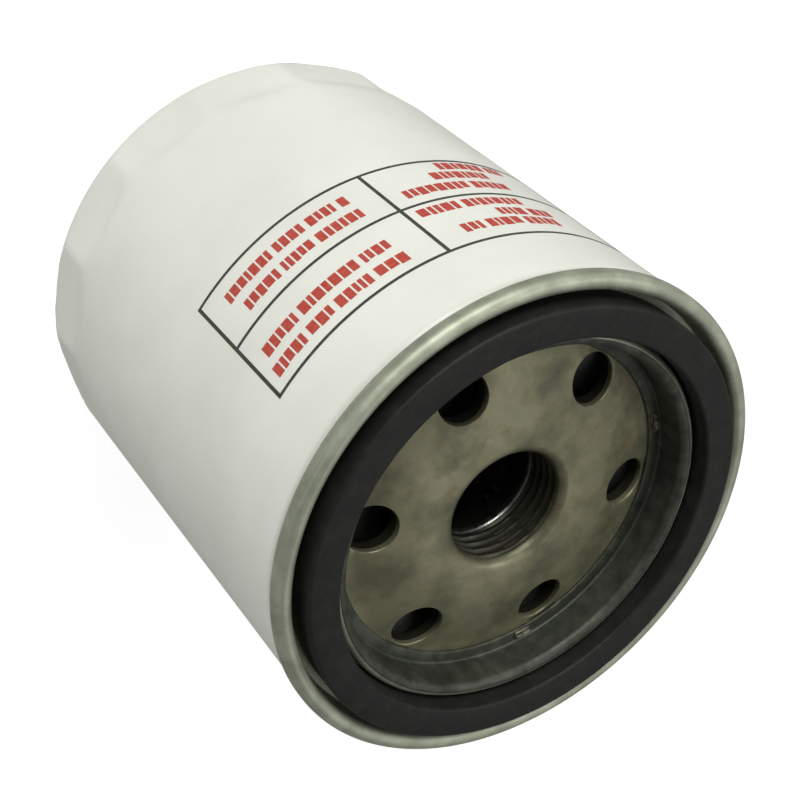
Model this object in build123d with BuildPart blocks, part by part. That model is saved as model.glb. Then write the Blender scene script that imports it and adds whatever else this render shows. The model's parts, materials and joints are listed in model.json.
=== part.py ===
from build123d import *
import os
from math import pi, radians, tan

# Spin-on oil filter for a small engine, standing on its closed end.
# The axis is Z, the origin is the centre of the dome foot, and the threaded end with its gasket is on top.
# All sizes are millimetres; radii are measured from the filter's axis.

# ---------------------------------------------------------------- driving dimensions
TOTAL_HEIGHT = 86.1  # dome foot to gasket face
SEAM_RADIUS = 38.1  # rolled seam, 3.0 in across
CAN_RADIUS = 37.55  # outside of the can's wall
SHEET = 0.5  # can, lid and end cap sheet
TINY = 1e-6

THREAD_MINOR_RADIUS = 8.7  # 3/4-16 UNF, minor diameter 17.4
THREAD_LENGTH = 7.5  # full thread in the collar
THREAD_LEAD_IN = 1.6  # radius of the rounded mouth of the threaded hole

GASKET_INNER_RADIUS = 29.6
GASKET_OUTER_RADIUS = 34.4
GASKET_THICKNESS = 5.7
GASKET_EDGE = 0.45  # rounding of the sealing face's edges and chamfer of the seated ones

INLET_COUNT = 6
INLET_DIAMETER = 7.4
INLET_CIRCLE_RADIUS = 21.3
INLET_ANGLE = 13.0  # first inlet hole, degrees from +X

FLUTE_COUNT = 15  # flats for a cap wrench
FLUTE_HEIGHT = 12.0  # flats run to here, then fade out
FLUTE_FADE = 3.0
FLUTE_DEPTH = 0.8

PLATE_THICKNESS = 2.5
PLATE_RADIUS = 35.0
HUB_TOP_DROP = 6.0  # hub face, below the gasket face
HUB_RADIUS = 16.0
HUB_ROUNDING = 34.0  # wide bend from the hub's face into the slope
VALLEY_DROP = 8.3  # ring of the plate that the lid is welded to, below the gasket face
VALLEY_INNER_RADIUS = 24.8
VALLEY_OUTER_RADIUS = 27.9
RAMP_WIDTH = 1.7  # rise from the valley to the outer flange, measured along the radius
RAMP_OFFSET = 1.0  # the ramp's underside lies this much further out
COLLAR_RADIUS = 11.6  # outside of the threaded collar

WELD_COUNT = 4
WELD_ANGLE = 64.0  # first weld, degrees from +X
WELD_WIDTH = 1.2
WELD_LENGTH = 3.4
WELD_CORNER = 0.5
WELD_HEIGHT = 0.3
WELD_OFFSET = 1.35  # welds' circle, outside the valley's inner edge

# ---------------------------------------------------------------- levels up the axis
GASKET_TOP = TOTAL_HEIGHT
CHANNEL_FLOOR = GASKET_TOP - GASKET_THICKNESS
FLANGE_TOP = CHANNEL_FLOOR - SHEET  # plate's outer flange, under the gasket channel
HUB_TOP = GASKET_TOP - HUB_TOP_DROP
VALLEY_TOP = GASKET_TOP - VALLEY_DROP
VALLEY_BOTTOM = VALLEY_TOP - PLATE_THICKNESS
THREAD_TOP = HUB_TOP - THREAD_LEAD_IN
COLLAR_BOTTOM = THREAD_TOP - THREAD_LENGTH
SEAM_TOP = GASKET_TOP - 1.3
SEAM_CURL = 4 * SHEET  # width over the seam's outer curl, measured between centre lines
SEAM_CURL_LEVEL = SEAM_TOP - SHEET / 2 - SEAM_CURL / 2
SEAM_HOOK_LEVEL = SEAM_CURL_LEVEL - 0.65  # the lid's edge turns back under the can's edge here
SEALANT_HEIGHT = 0.3  # left free above the lid's turned-back edge
LIP_TOP = GASKET_TOP - 2.4
NECK_LOW = 81.0  # the can's wall steps in between these levels
NECK_HIGH = 82.0
CUP_TOP = 40.0  # the can's closed end is shaped up to here, and plain wall goes on above

# ---------------------------------------------------------------- seaming lid
LID_INNER_LEG = VALLEY_OUTER_RADIUS - 0.45  # centre lines of the two legs of the lip
LID_OUTER_LEG = GASKET_INNER_RADIUS - 0.55
LID_HOLE_CLEARANCE = 0.7  # lid's inner edge, outside the valley's inner edge
LID_BEND = 0.6
NECK_BEND = 0.8

# ---------------------------------------------------------------- anti-drainback valve
SLEEVE_CLEARANCE = 0.1
SLEEVE_WALL = 1.7
SLEEVE_HEIGHT = 3.4
SLEEVE_INNER_RADIUS = COLLAR_RADIUS + SLEEVE_CLEARANCE
SLEEVE_OUTER_RADIUS = SLEEVE_INNER_RADIUS + SLEEVE_WALL
SLEEVE_BOTTOM = COLLAR_BOTTOM + 1.4
DISC_ROOT_LOW = 0.3  # the disc leaves the sleeve between these heights above its lower end
DISC_ROOT_HIGH = 1.7
DISC_ROOT_FILLET = 0.5
DISC_LIP_RADIUS = 28.4
DISC_LIP_THICKNESS = 0.9
DISC_HEEL_THICKNESS = 1.2
DISC_CONTACT_OFFSET = 0.8  # the disc touches the plate from here outward, outside the valley's inner edge

# ---------------------------------------------------------------- filter element
SEAL_THICKNESS = 1.3
SEAL_RADIUS = 13.2
SEAL_CHAMFER_WIDTH = 1.0
SEAL_CHAMFER_HEIGHT = 0.3
SEAL_LIP_THICKNESS = 0.6
SEAL_LIP_DEPTH = 1.8
CAP_TOP = COLLAR_BOTTOM - SEAL_THICKNESS  # upper end cap, outer face
CAP_RADIUS = 33.8
CAP_RIM = 3.0
CAP_BEND = 0.8
CAP_HOLE_RADIUS = 9.9
LOWER_CAP_BOTTOM = 13.0
LOWER_CAP_TOP = LOWER_CAP_BOTTOM + SHEET
UPPER_CAP_BOTTOM = CAP_TOP - SHEET
ADHESIVE = 1.2
ADHESIVE_GAP = 0.5  # between the adhesive and the cap's rim

TUBE_RADIUS = 15.8
TUBE_WALL = 0.6
TUBE_HOLE_DIAMETER = 4.0
TUBE_HOLE_ROWS = 7
TUBE_HOLES_PER_ROW = 8

PLEAT_COUNT = 48
PLEAT_OUTER_RADIUS = 32.8
PLEAT_INNER_RADIUS = 16.3
PLEAT_FOLD = 4.2  # radial distance between the two faces of the folded paper
HALF_PLEAT = 180 / PLEAT_COUNT  # degrees
PAPER_LOW = LOWER_CAP_TOP + ADHESIVE
PAPER_HEIGHT = UPPER_CAP_BOTTOM - ADHESIVE - PAPER_LOW

CLIP_WALL = 0.4
CLIP_GAP = 1.1
CLIP_DEPTH = 3.6

# ---------------------------------------------------------------- bypass valve
BYPASS_HOLE_RADIUS = 6.5
SEAT_RADIUS = 9.2
SEAT_THICKNESS = 1.0
SEAT_TOP = LOWER_CAP_TOP + SEAT_THICKNESS
POPPET_RADIUS = 8.6
POPPET_THICKNESS = 1.2
POPPET_EDGE = 0.5
POPPET_TOP = SEAT_TOP + POPPET_THICKNESS
STEM_RADIUS = 2.0
STEM_TOP = 29.5
STEM_CHAMFER = 0.4
STEM_CLEARANCE = 0.15
CAGE_TOP = 28.0
CAGE_RADIUS = 11.0
CAGE_WALL = 0.7
CAGE_EDGE = 0.6
CAGE_FLANGE_RADIUS = 14.6
WINDOW_COUNT = 4
WINDOW_ANGLE = 45.0  # first window, degrees from +X
WINDOW_DEPTH = 6.0  # cut along the radius, through the wall
WINDOW_WIDTH = 10.0
WINDOW_HEIGHT = 9.5
WINDOW_SILL = 2.0  # window's lower edge, above the cap

# ---------------------------------------------------------------- springs
SPRING_CLEARANCE = 0.1  # between a spring's end and the face that it presses on
BYPASS_WIRE = 0.9
BYPASS_COIL_RADIUS = 4.6
BYPASS_TURNS = 5
SUPPORT_WIRE = 1.6
SUPPORT_COIL_RADIUS = 21.0
SUPPORT_TURNS = 3

# ---------------------------------------------------------------- closed end of the can
RECESS_RADIUS = 15.0  # pushed-in centre, which leaves a ring to stand on
RECESS_HEIGHT = 2.2
FOOT_CORNER_RADIUS = 5.5
CUTTER_MARGIN = 4.0  # the flute cutters reach this far past the wall


def sheet_section(points, radii):
    """Section of a pressed sheet: straight runs along its centre line, joined by bends of the given radii."""
    corners = [Vector(*point) for point in points]
    with BuildSketch(Plane.XZ) as section:
        with BuildLine():
            pen = corners[0]
            for before, corner, after, radius in zip(corners, corners[1:], corners[2:], radii):
                incoming = (corner - before).normalized()
                outgoing = (after - corner).normalized()
                setback = radius * tan(radians(incoming.get_angle(outgoing) / 2))
                bend_start = corner - incoming * setback
                bend_end = corner + outgoing * setback
                if (bend_start - pen).length > TINY:
                    Line(pen, bend_start)
                TangentArc(bend_start, bend_end, tangent=incoming)
                pen = bend_end
            Line(pen, corners[-1])
        trace(line_width=SHEET)
    return section.sketch


def ring_section(*points):
    """Closed polygon in the radial plane, given as (radius, height) corners."""
    with BuildSketch(Plane.XZ) as section:
        with BuildLine():
            Polyline(*points, close=True)
        make_face()
    return section.sketch


def seam_layer(number):
    """Radius of the centre line of one of the seam's five layers, counted inward from the outermost."""
    return SEAM_RADIUS - SHEET * (number + 0.5)


# ---------------------------------------------------------------- can
# The closed end has flats for a cap wrench, and the hollow follows them.
def flute_cutters(flat_distance, fade_radius):
    """Wedges that leave one flat each, fading out where the flats meet the round wall."""
    reach = CAN_RADIUS + CUTTER_MARGIN
    with BuildPart() as cutters:
        with BuildSketch(Plane.XZ):
            with BuildLine():
                Polyline(
                    (flat_distance, -SHEET),
                    (flat_distance, FLUTE_HEIGHT),
                    (fade_radius, FLUTE_HEIGHT + FLUTE_FADE),
                    (reach, FLUTE_HEIGHT + FLUTE_FADE),
                    (reach, -SHEET),
                    close=True,
                )
            make_face()
        extrude(amount=CAN_RADIUS * tan(pi / FLUTE_COUNT), both=True)
    return cutters.part


def cup_section(radius, bottom, corner_radius):
    """Half section of a solid plug with a rounded lower corner, up to the middle of the wall."""
    with BuildSketch(Plane.XZ) as section:
        with BuildLine():
            Line((0, bottom), (radius - corner_radius, bottom))
            TangentArc((radius - corner_radius, bottom), (radius, bottom + corner_radius), tangent=(1, 0))
            Line((radius, bottom + corner_radius), (radius, CUP_TOP))
            Line((radius, CUP_TOP), (0, CUP_TOP))
            Line((0, CUP_TOP), (0, bottom))
        make_face()
    return section.sketch


with BuildPart() as can_hollow:
    revolve(cup_section(CAN_RADIUS - SHEET, SHEET, FOOT_CORNER_RADIUS - SHEET), axis=Axis.Z)
    with PolarLocations(0, FLUTE_COUNT):
        add(
            flute_cutters(CAN_RADIUS - FLUTE_DEPTH - SHEET, CAN_RADIUS - SHEET + TINY),
            mode=Mode.SUBTRACT,
        )
    revolve(
        ring_section(
            (0, 0),
            (RECESS_RADIUS + RECESS_HEIGHT, 0),
            (RECESS_RADIUS + RECESS_HEIGHT, SHEET),
            (RECESS_RADIUS, RECESS_HEIGHT + SHEET),
            (0, RECESS_HEIGHT + SHEET),
        ),
        axis=Axis.Z,
        mode=Mode.SUBTRACT,
    )

with BuildPart() as can_shell:
    revolve(cup_section(CAN_RADIUS, 0, FOOT_CORNER_RADIUS), axis=Axis.Z)
    with PolarLocations(0, FLUTE_COUNT):
        add(flute_cutters(CAN_RADIUS - FLUTE_DEPTH, CAN_RADIUS + TINY), mode=Mode.SUBTRACT)
    revolve(
        ring_section(
            (0, -SHEET),
            (RECESS_RADIUS + RECESS_HEIGHT + SHEET, -SHEET),
            (RECESS_RADIUS + RECESS_HEIGHT, 0),
            (RECESS_RADIUS, RECESS_HEIGHT),
            (0, RECESS_HEIGHT),
        ),
        axis=Axis.Z,
        mode=Mode.SUBTRACT,
    )
    add(can_hollow.part, mode=Mode.SUBTRACT)
    # wall, neck and the edge that is folded into the seam
    wall_line = CAN_RADIUS - SHEET / 2
    revolve(
        sheet_section(
            [
                (wall_line, CUP_TOP),
                (wall_line, NECK_LOW),
                (seam_layer(3), NECK_HIGH),
                (seam_layer(3), SEAM_CURL_LEVEL + SHEET),
                (seam_layer(1), SEAM_CURL_LEVEL + SHEET),
                (seam_layer(1), SEAM_HOOK_LEVEL),
            ],
            [NECK_BEND, NECK_BEND, SHEET, SHEET],
        ),
        axis=Axis.Z,
    )
can_shell.part.label = "can_shell"

# ---------------------------------------------------------------- threaded end
with BuildPart() as seaming_lid:
    valley_line = VALLEY_TOP + SHEET / 2
    channel_line = CHANNEL_FLOOR - SHEET / 2
    lip_line = LIP_TOP - SHEET / 2
    seam_line = SEAM_TOP - SHEET / 2
    lip_bend = (LID_OUTER_LEG - LID_INNER_LEG) / 2
    revolve(
        sheet_section(
            [
                (VALLEY_INNER_RADIUS + LID_HOLE_CLEARANCE, valley_line),
                (LID_INNER_LEG, valley_line),
                (LID_INNER_LEG, lip_line),
                (LID_OUTER_LEG, lip_line),
                (LID_OUTER_LEG, channel_line),
                (seam_layer(4), channel_line),
                (seam_layer(4), seam_line),
                (seam_layer(0), seam_line),
                (seam_layer(0), SEAM_HOOK_LEVEL - SHEET),
                (seam_layer(2), SEAM_HOOK_LEVEL - SHEET),
                (seam_layer(2), SEAM_CURL_LEVEL - SEALANT_HEIGHT),
            ],
            [LID_BEND, lip_bend, lip_bend, LID_BEND, LID_BEND, SEAM_CURL / 2, SEAM_CURL / 2, SHEET, SHEET],
        ),
        axis=Axis.Z,
    )
seaming_lid.part.label = "seaming_lid"

with BuildPart() as seam_sealant:
    # compound that fills the pocket under the can's folded edge
    pocket_radius = seam_layer(2)
    revolve(
        ring_section(
            (pocket_radius - SHEET / 2, SEAM_CURL_LEVEL - SEALANT_HEIGHT),
            (pocket_radius + SHEET / 2, SEAM_CURL_LEVEL - SEALANT_HEIGHT),
            (pocket_radius + SHEET / 2, SEAM_CURL_LEVEL),
            (pocket_radius - SHEET / 2, SEAM_CURL_LEVEL),
        ),
        axis=Axis.Z,
    )
seam_sealant.part.label = "seam_sealant"

with BuildPart() as base_plate:
    # dished plate: raised hub, sloping ring with the inlet holes, valley, and an outer flange
    with BuildSketch(Plane.XZ):
        with BuildLine():
            Polyline(
                (THREAD_MINOR_RADIUS + THREAD_LEAD_IN, HUB_TOP),
                (HUB_RADIUS, HUB_TOP),
                (VALLEY_INNER_RADIUS, VALLEY_TOP),
                (VALLEY_OUTER_RADIUS, VALLEY_TOP),
                (VALLEY_OUTER_RADIUS + RAMP_WIDTH, FLANGE_TOP),
                (PLATE_RADIUS, FLANGE_TOP),
                (PLATE_RADIUS, FLANGE_TOP - PLATE_THICKNESS),
                (VALLEY_OUTER_RADIUS + RAMP_WIDTH + RAMP_OFFSET, FLANGE_TOP - PLATE_THICKNESS),
                (VALLEY_OUTER_RADIUS + RAMP_OFFSET, VALLEY_BOTTOM),
                (VALLEY_INNER_RADIUS, VALLEY_BOTTOM),
                (HUB_RADIUS, HUB_TOP - PLATE_THICKNESS),
                (COLLAR_RADIUS, HUB_TOP - PLATE_THICKNESS),
                (COLLAR_RADIUS, COLLAR_BOTTOM),
                (THREAD_MINOR_RADIUS, COLLAR_BOTTOM),
                (THREAD_MINOR_RADIUS, THREAD_TOP),
            )
            TangentArc(
                (THREAD_MINOR_RADIUS, THREAD_TOP),
                (THREAD_MINOR_RADIUS + THREAD_LEAD_IN, HUB_TOP),
                tangent=(0, 1),
            )
        make_face()
    revolve(axis=Axis.Z)
    round_edges = base_plate.edges().filter_by(GeomType.CIRCLE)
    hub_edges = round_edges.filter_by(lambda edge: abs(edge.radius - HUB_RADIUS) < TINY)
    fillet(hub_edges, radius=HUB_ROUNDING)
    with BuildSketch(Plane.XY.offset(VALLEY_BOTTOM - SHEET)):
        with PolarLocations(INLET_CIRCLE_RADIUS, INLET_COUNT, start_angle=INLET_ANGLE):
            Circle(INLET_DIAMETER / 2)
    extrude(amount=PLATE_THICKNESS + HUB_TOP_DROP, mode=Mode.SUBTRACT)
base_plate.part.label = "base_plate"

with BuildPart() as weld_spots:
    # small raised nuggets where the lid is welded to the plate's valley
    with BuildSketch(Plane.XY.offset(VALLEY_TOP + SHEET)):
        with PolarLocations(VALLEY_INNER_RADIUS + WELD_OFFSET, WELD_COUNT, start_angle=WELD_ANGLE):
            RectangleRounded(WELD_WIDTH, WELD_LENGTH, WELD_CORNER)
    extrude(amount=WELD_HEIGHT)
weld_spots.part.label = "weld_spots"

with BuildPart() as gasket:
    revolve(
        ring_section(
            (GASKET_INNER_RADIUS, GASKET_TOP),
            (GASKET_INNER_RADIUS, CHANNEL_FLOOR + GASKET_EDGE),
            (GASKET_INNER_RADIUS + GASKET_EDGE, CHANNEL_FLOOR),
            (GASKET_OUTER_RADIUS - GASKET_EDGE, CHANNEL_FLOOR),
            (GASKET_OUTER_RADIUS, CHANNEL_FLOOR + GASKET_EDGE),
            (GASKET_OUTER_RADIUS, GASKET_TOP),
        ),
        axis=Axis.Z,
    )
    sealing_edges = gasket.edges().group_by(Axis.Z)[-1]
    fillet(sealing_edges, radius=GASKET_EDGE)
gasket.part.label = "gasket"

# ---------------------------------------------------------------- valve
# Rubber diaphragm that slides on the threaded collar and closes the inlet holes from inside.
with BuildPart() as drainback_valve:
    revolve(
        ring_section(
            (SLEEVE_INNER_RADIUS, SLEEVE_BOTTOM),
            (SLEEVE_OUTER_RADIUS, SLEEVE_BOTTOM),
            (SLEEVE_OUTER_RADIUS + DISC_ROOT_FILLET, SLEEVE_BOTTOM + DISC_ROOT_LOW),
            (VALLEY_INNER_RADIUS, VALLEY_BOTTOM - DISC_HEEL_THICKNESS),
            (DISC_LIP_RADIUS, VALLEY_BOTTOM - DISC_LIP_THICKNESS),
            (DISC_LIP_RADIUS, VALLEY_BOTTOM),
            (VALLEY_INNER_RADIUS + DISC_CONTACT_OFFSET, VALLEY_BOTTOM),
            (SLEEVE_OUTER_RADIUS + DISC_ROOT_FILLET, SLEEVE_BOTTOM + DISC_ROOT_HIGH),
            (SLEEVE_OUTER_RADIUS, SLEEVE_BOTTOM + SLEEVE_HEIGHT),
            (SLEEVE_INNER_RADIUS, SLEEVE_BOTTOM + SLEEVE_HEIGHT),
        ),
        axis=Axis.Z,
    )
drainback_valve.part.label = "drainback_valve"

# ---------------------------------------------------------------- element
with BuildPart() as upper_end_cap:
    revolve(
        sheet_section(
            [
                (CAP_HOLE_RADIUS, CAP_TOP - SHEET / 2),
                (CAP_RADIUS - SHEET / 2, CAP_TOP - SHEET / 2),
                (CAP_RADIUS - SHEET / 2, CAP_TOP - CAP_RIM),
            ],
            [CAP_BEND],
        ),
        axis=Axis.Z,
    )
upper_end_cap.part.label = "upper_end_cap"

with BuildPart() as lower_end_cap:
    revolve(
        sheet_section(
            [
                (BYPASS_HOLE_RADIUS, LOWER_CAP_BOTTOM + SHEET / 2),
                (CAP_RADIUS - SHEET / 2, LOWER_CAP_BOTTOM + SHEET / 2),
                (CAP_RADIUS - SHEET / 2, LOWER_CAP_BOTTOM + CAP_RIM),
            ],
            [CAP_BEND],
        ),
        axis=Axis.Z,
    )
lower_end_cap.part.label = "lower_end_cap"

with BuildPart() as element_seal:
    # rubber grommet in the upper cap's hole, pressed against the threaded collar's end
    revolve(
        ring_section(
            (CAP_HOLE_RADIUS - SEAL_LIP_THICKNESS, CAP_TOP - SEAL_LIP_DEPTH),
            (CAP_HOLE_RADIUS, CAP_TOP - SEAL_LIP_DEPTH),
            (CAP_HOLE_RADIUS, CAP_TOP),
            (SEAL_RADIUS, CAP_TOP),
            (SEAL_RADIUS, COLLAR_BOTTOM - SEAL_CHAMFER_HEIGHT),
            (SEAL_RADIUS - SEAL_CHAMFER_WIDTH, COLLAR_BOTTOM),
            (CAP_HOLE_RADIUS - SEAL_LIP_THICKNESS, COLLAR_BOTTOM),
        ),
        axis=Axis.Z,
    )
element_seal.part.label = "element_seal"


def adhesive_ring(low):
    """Ring of cured adhesive that bonds one end of the paper into its cap."""
    with BuildPart() as ring:
        with BuildSketch(Plane.XY.offset(low)):
            Circle(CAP_RADIUS - SHEET - ADHESIVE_GAP)
            Circle(TUBE_RADIUS, mode=Mode.SUBTRACT)
        extrude(amount=ADHESIVE)
    return ring.part


upper_adhesive = adhesive_ring(UPPER_CAP_BOTTOM - ADHESIVE)
upper_adhesive.label = "upper_adhesive"
lower_adhesive = adhesive_ring(LOWER_CAP_TOP)
lower_adhesive.label = "lower_adhesive"


def pleat_outline(peak_radius, fold_radius):
    """Star outline of one face of the pleated paper."""
    outline = []
    for pleat in range(PLEAT_COUNT):
        angle = pleat * 2 * HALF_PLEAT
        outline.append(Vector(peak_radius, 0).rotate(Axis.Z, angle))
        outline.append(Vector(fold_radius, 0).rotate(Axis.Z, angle + HALF_PLEAT))
    return outline


with BuildPart() as pleated_paper:
    with BuildSketch(Plane.XY.offset(PAPER_LOW)):
        with BuildLine():
            Polyline(*pleat_outline(PLEAT_OUTER_RADIUS, PLEAT_INNER_RADIUS + PLEAT_FOLD), close=True)
        make_face()
        with BuildLine():
            Polyline(*pleat_outline(PLEAT_OUTER_RADIUS - PLEAT_FOLD, PLEAT_INNER_RADIUS), close=True)
        make_face(mode=Mode.SUBTRACT)
    extrude(amount=PAPER_HEIGHT)
pleated_paper.part.label = "pleated_paper"

with BuildPart() as paper_clip:
    # folded metal strip over the pleat where the paper's two ends meet
    with BuildSketch(Plane.XY.offset(PAPER_LOW)):
        with Locations((PLEAT_OUTER_RADIUS + CLIP_WALL - CLIP_DEPTH / 2, 0)):
            Rectangle(CLIP_DEPTH, CLIP_GAP + 2 * CLIP_WALL)
        with Locations((PLEAT_OUTER_RADIUS - CLIP_DEPTH / 2, 0)):
            Rectangle(CLIP_DEPTH, CLIP_GAP, mode=Mode.SUBTRACT)
    extrude(amount=PAPER_HEIGHT)
paper_clip.part.label = "paper_clip"

with BuildPart() as centre_tube:
    with BuildSketch(Plane.XY.offset(LOWER_CAP_TOP)):
        Circle(TUBE_RADIUS)
        Circle(TUBE_RADIUS - TUBE_WALL, mode=Mode.SUBTRACT)
    extrude(amount=UPPER_CAP_BOTTOM - LOWER_CAP_TOP)
    row_pitch = (UPPER_CAP_BOTTOM - LOWER_CAP_TOP) / (TUBE_HOLE_ROWS + 1)
    for row in range(TUBE_HOLE_ROWS):
        row_level = LOWER_CAP_TOP + row_pitch * (row + 1)
        row_turn = (row % 2) * 180 / TUBE_HOLES_PER_ROW
        with Locations((0, 0, row_level)):
            with PolarLocations(0, TUBE_HOLES_PER_ROW, start_angle=row_turn):
                Cylinder(
                    TUBE_HOLE_DIAMETER / 2,
                    TUBE_RADIUS + TUBE_WALL,
                    rotation=(0, 90, 0),
                    align=(Align.CENTER, Align.CENTER, Align.MIN),
                    mode=Mode.SUBTRACT,
                )
centre_tube.part.label = "centre_tube"

# ---------------------------------------------------------------- bypass
# Spring-loaded poppet over the hole in the lower end cap; it lifts up into the centre tube.
with BuildPart() as bypass_seat:
    with BuildSketch(Plane.XY.offset(LOWER_CAP_TOP)):
        Circle(SEAT_RADIUS)
        Circle(BYPASS_HOLE_RADIUS, mode=Mode.SUBTRACT)
    extrude(amount=SEAT_THICKNESS)
bypass_seat.part.label = "bypass_seat"

with BuildPart() as bypass_poppet:
    with BuildSketch(Plane.XY.offset(SEAT_TOP)):
        Circle(POPPET_RADIUS)
    extrude(amount=POPPET_THICKNESS)
    fillet(bypass_poppet.edges().group_by(Axis.Z)[-1], radius=POPPET_EDGE)
    with BuildSketch(Plane.XY.offset(POPPET_TOP)):
        Circle(STEM_RADIUS)
    extrude(amount=STEM_TOP - POPPET_TOP)
    chamfer(bypass_poppet.edges().group_by(Axis.Z)[-1], length=STEM_CHAMFER)
bypass_poppet.part.label = "bypass_poppet"

with BuildPart() as bypass_cage:
    # flanged cup pressed from sheet, with its side cut away between four legs
    revolve(
        ring_section(
            (STEM_RADIUS + STEM_CLEARANCE, CAGE_TOP),
            (CAGE_RADIUS, CAGE_TOP),
            (CAGE_RADIUS, LOWER_CAP_TOP + CAGE_WALL),
            (CAGE_FLANGE_RADIUS, LOWER_CAP_TOP + CAGE_WALL),
            (CAGE_FLANGE_RADIUS, LOWER_CAP_TOP),
            (CAGE_RADIUS - CAGE_WALL, LOWER_CAP_TOP),
            (CAGE_RADIUS - CAGE_WALL, CAGE_TOP - CAGE_WALL),
            (STEM_RADIUS + STEM_CLEARANCE, CAGE_TOP - CAGE_WALL),
        ),
        axis=Axis.Z,
    )
    round_edges = bypass_cage.edges().filter_by(GeomType.CIRCLE)
    cup_edges = round_edges.filter_by(lambda edge: abs(edge.radius - CAGE_RADIUS) < TINY)
    fillet(cup_edges.group_by(Axis.Z)[-1], radius=CAGE_EDGE)
    with BuildSketch(Plane.XY.offset(LOWER_CAP_TOP + WINDOW_SILL)):
        with PolarLocations(CAGE_RADIUS, WINDOW_COUNT, start_angle=WINDOW_ANGLE):
            Rectangle(WINDOW_DEPTH, WINDOW_WIDTH)
    extrude(amount=WINDOW_HEIGHT, mode=Mode.SUBTRACT)
bypass_cage.part.label = "bypass_cage"


def coil_spring(coil_radius, wire_diameter, low, high, turns):
    """Helical compression spring standing between two levels."""
    with BuildPart() as spring:
        with BuildLine():
            helix = Helix(
                pitch=(high - low - wire_diameter) / turns,
                height=high - low - wire_diameter,
                radius=coil_radius,
                center=(0, 0, low + wire_diameter / 2),
            )
        with BuildSketch(Plane(origin=helix @ 0, z_dir=helix % 0)):
            Circle(wire_diameter / 2)
        sweep(is_frenet=True)
    return spring.part


bypass_spring = coil_spring(
    BYPASS_COIL_RADIUS,
    BYPASS_WIRE,
    POPPET_TOP + SPRING_CLEARANCE,
    CAGE_TOP - CAGE_WALL - SPRING_CLEARANCE,
    BYPASS_TURNS,
)
bypass_spring.label = "bypass_spring"

# presses the whole element against the collar
support_spring = coil_spring(
    SUPPORT_COIL_RADIUS,
    SUPPORT_WIRE,
    SHEET + SPRING_CLEARANCE,
    LOWER_CAP_BOTTOM - SPRING_CLEARANCE,
    SUPPORT_TURNS,
)
support_spring.label = "support_spring"

# ---------------------------------------------------------------- one file per piece
pieces = [
    can_shell.part,
    seaming_lid.part,
    seam_sealant.part,
    base_plate.part,
    weld_spots.part,
    gasket.part,
    drainback_valve.part,
    element_seal.part,
    upper_end_cap.part,
    upper_adhesive,
    pleated_paper.part,
    paper_clip.part,
    centre_tube.part,
    lower_adhesive,
    lower_end_cap.part,
    bypass_seat.part,
    bypass_poppet.part,
    bypass_spring,
    bypass_cage.part,
    support_spring,
]
os.makedirs("parts", exist_ok=True)
for piece in pieces:
    export_step(piece, f"parts/{piece.label}.step")
    print(piece.label, round(piece.volume, 1), piece.is_valid)
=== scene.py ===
import json
from math import asin, atan2, ceil, cos, degrees, exp, floor, hypot, log, pi, radians, sin, tan
from random import Random

import bmesh
import bpy
from mathutils import Matrix, Vector


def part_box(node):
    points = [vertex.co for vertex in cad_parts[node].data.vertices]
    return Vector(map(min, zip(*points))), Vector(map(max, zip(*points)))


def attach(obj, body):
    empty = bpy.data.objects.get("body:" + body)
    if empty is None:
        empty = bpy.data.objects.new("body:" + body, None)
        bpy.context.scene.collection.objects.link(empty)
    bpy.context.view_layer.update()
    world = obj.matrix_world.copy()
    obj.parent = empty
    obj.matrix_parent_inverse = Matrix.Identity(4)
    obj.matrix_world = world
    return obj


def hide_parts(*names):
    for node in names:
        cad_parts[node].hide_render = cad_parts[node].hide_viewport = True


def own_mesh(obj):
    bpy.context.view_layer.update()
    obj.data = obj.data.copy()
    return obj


# Spin-on oil filter for a small engine, standing on its closed end, with its axis on Z.
# Sizes are in millimetres. A finished mesh is scaled to metres.

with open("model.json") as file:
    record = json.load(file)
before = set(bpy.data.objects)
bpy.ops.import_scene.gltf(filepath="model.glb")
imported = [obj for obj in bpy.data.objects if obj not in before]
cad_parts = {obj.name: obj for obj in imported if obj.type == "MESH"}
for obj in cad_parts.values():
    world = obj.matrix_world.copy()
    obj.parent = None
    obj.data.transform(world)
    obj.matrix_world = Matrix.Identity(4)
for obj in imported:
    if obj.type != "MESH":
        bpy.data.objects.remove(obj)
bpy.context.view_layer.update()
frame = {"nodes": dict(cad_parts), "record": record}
NODES = frame["nodes"]
MM = 0.001


def bottom(node):
    """Lowest level of a CAD node."""
    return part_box(node)[0].z / MM


def top(node):
    """Highest level of a CAD node."""
    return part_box(node)[1].z / MM


def reach(node):
    """Outer radius of a CAD node."""
    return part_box(node)[1].x / MM


# ---------------------------------------------------------------- sizes
SHEET = 0.5  # can, lid and end cap sheet
ROUND = 256  # facets round a smooth turned surface

GASKET_INNER = 29.6
GASKET_OUTER = reach("gasket")
GASKET_TOP = top("gasket")
CHANNEL_FLOOR = bottom("gasket")
SEAM_RADIUS = reach("seaming_lid")
SEAM_TOP = top("seaming_lid")
LIP_TOP = GASKET_TOP - 2.4
CAN_RADIUS = SEAM_RADIUS - 0.55

PLATE_THICKNESS = 2.5
PLATE_RADIUS = reach("base_plate")
FLANGE_TOP = CHANNEL_FLOOR - SHEET
VALLEY_TOP = GASKET_TOP - 8.3  # ring of the plate that the lid is welded to
VALLEY_BOTTOM = VALLEY_TOP - PLATE_THICKNESS
VALLEY_INNER = 24.8
VALLEY_OUTER = 27.9
RAMP_WIDTH = 1.7  # rise from the valley to the flange, measured along the radius
RAMP_OFFSET = 1.0  # the ramp's underside lies this much further out
HUB_TOP = top("base_plate")
HUB_RADIUS = 16.0
# fall of the dished plate per millimetre of radius
SLOPE = (HUB_TOP - VALLEY_TOP) / (VALLEY_INNER - HUB_RADIUS)
COLLAR_RADIUS = 11.6
COLLAR_BOTTOM = bottom("base_plate")

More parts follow.
